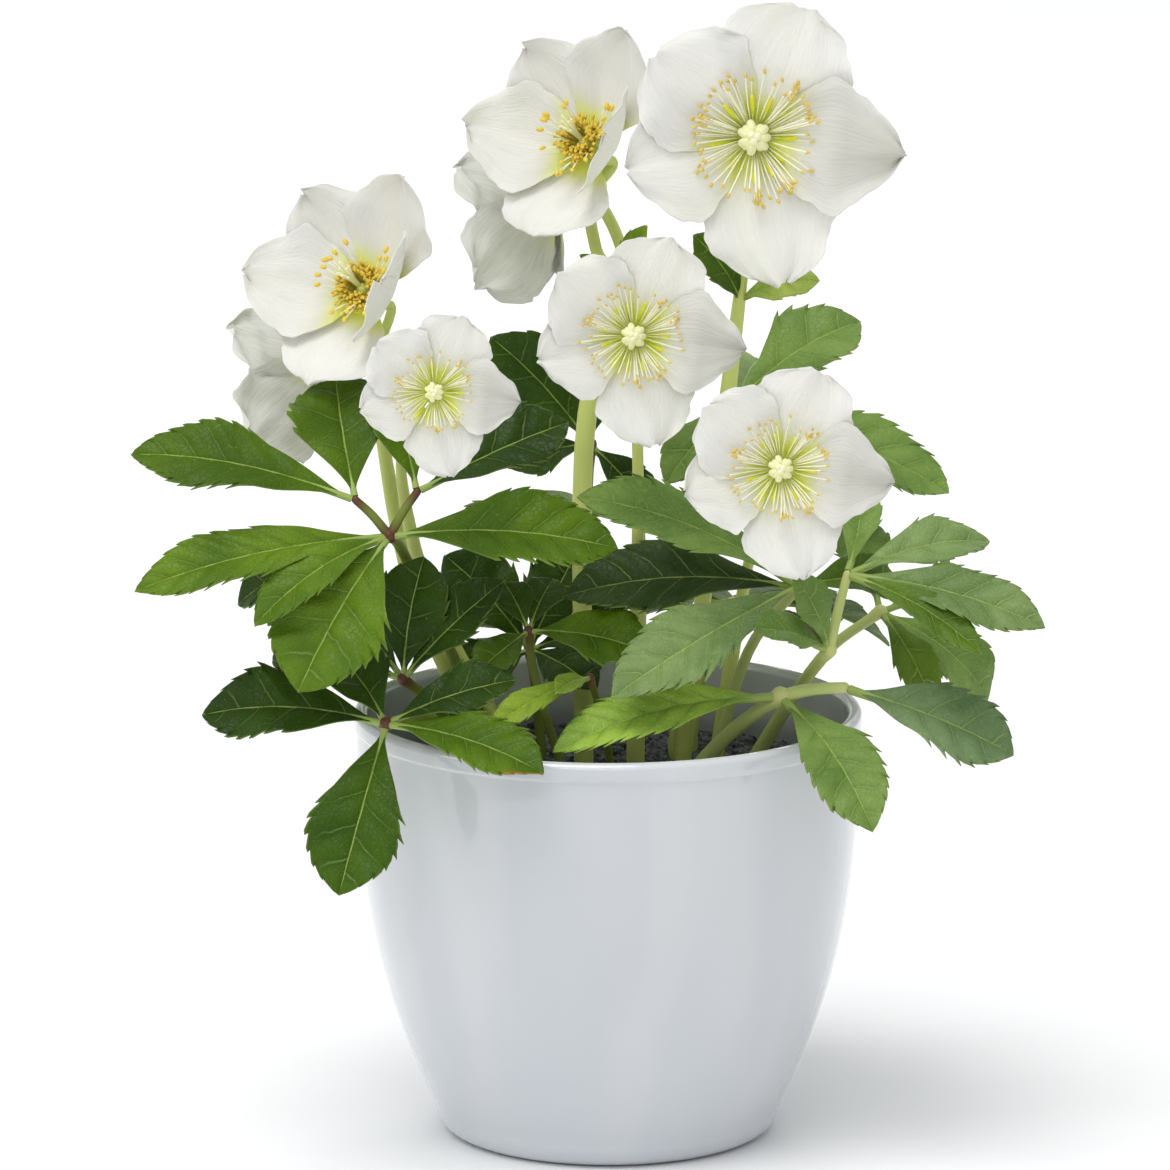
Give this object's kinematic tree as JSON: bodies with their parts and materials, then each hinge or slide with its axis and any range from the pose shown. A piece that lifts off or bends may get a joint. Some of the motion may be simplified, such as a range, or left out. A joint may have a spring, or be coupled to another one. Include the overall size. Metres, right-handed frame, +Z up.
{
  "type": "hellebore plant",
  "caption": "White Christmas rose in bloom with serrated hand-shaped leaves, growing in soil in a plain glazed round pot.",
  "frame": {"origin": "centre of the pot's flat base, on the surface it stands on", "axes": "+Z up along the pot's axis; the blooms face -Y, the side that the picture shows; +X to the right seen from there"},
  "size_m": [0.2972, 0.223, 0.3811],
  "materials": {
    "pot": "glossy pale grey glaze",
    "soil": "matt and crumbly, dark grey-brown",
    "leaf": "satin green with paler veins",
    "stem": "smooth, pale green, reddish at the joints",
    "sepal": "soft matt white, green at the heart",
    "stamen": "matt, cream and golden yellow"
  },
  "bodies": {
    "root": {"pot": "pot", "soil": "soil", "leaf_left_high": "leaf", "leaf_left_low": "leaf", "leaf_left_inner": "leaf", "leaf_centre_young": "leaf", "leaf_centre_right": "leaf", "leaf_front_young": "leaf", "leaf_right_low": "leaf", "leaf_right_high": "leaf", "leaf_right_outer": "leaf", "leaf_back_left": "leaf", "leaf_back_right": "leaf", "leaf_rear_1": "leaf", "leaf_rear_2": "leaf", "leaf_rear_3": "leaf", "stem_a": "stem", "stem_b": "stem", "stem_c": "stem", "stem_d": "stem", "stem_e": "stem", "stem_f": "stem", "sepals_a": "sepal", "sepals_b": "sepal", "sepals_b_back": "sepal", "sepals_c": "sepal", "sepals_c_back": "sepal", "sepals_d": "sepal", "sepals_e": "sepal", "sepals_f": "sepal", "stamens_a": "stamen", "stamens_b": "stamen", "stamens_b_back": "stamen", "stamens_c": "stamen", "stamens_c_back": "stamen", "stamens_d": "stamen", "stamens_e": "stamen", "stamens_f": "stamen"}
  },
  "joints": []
}
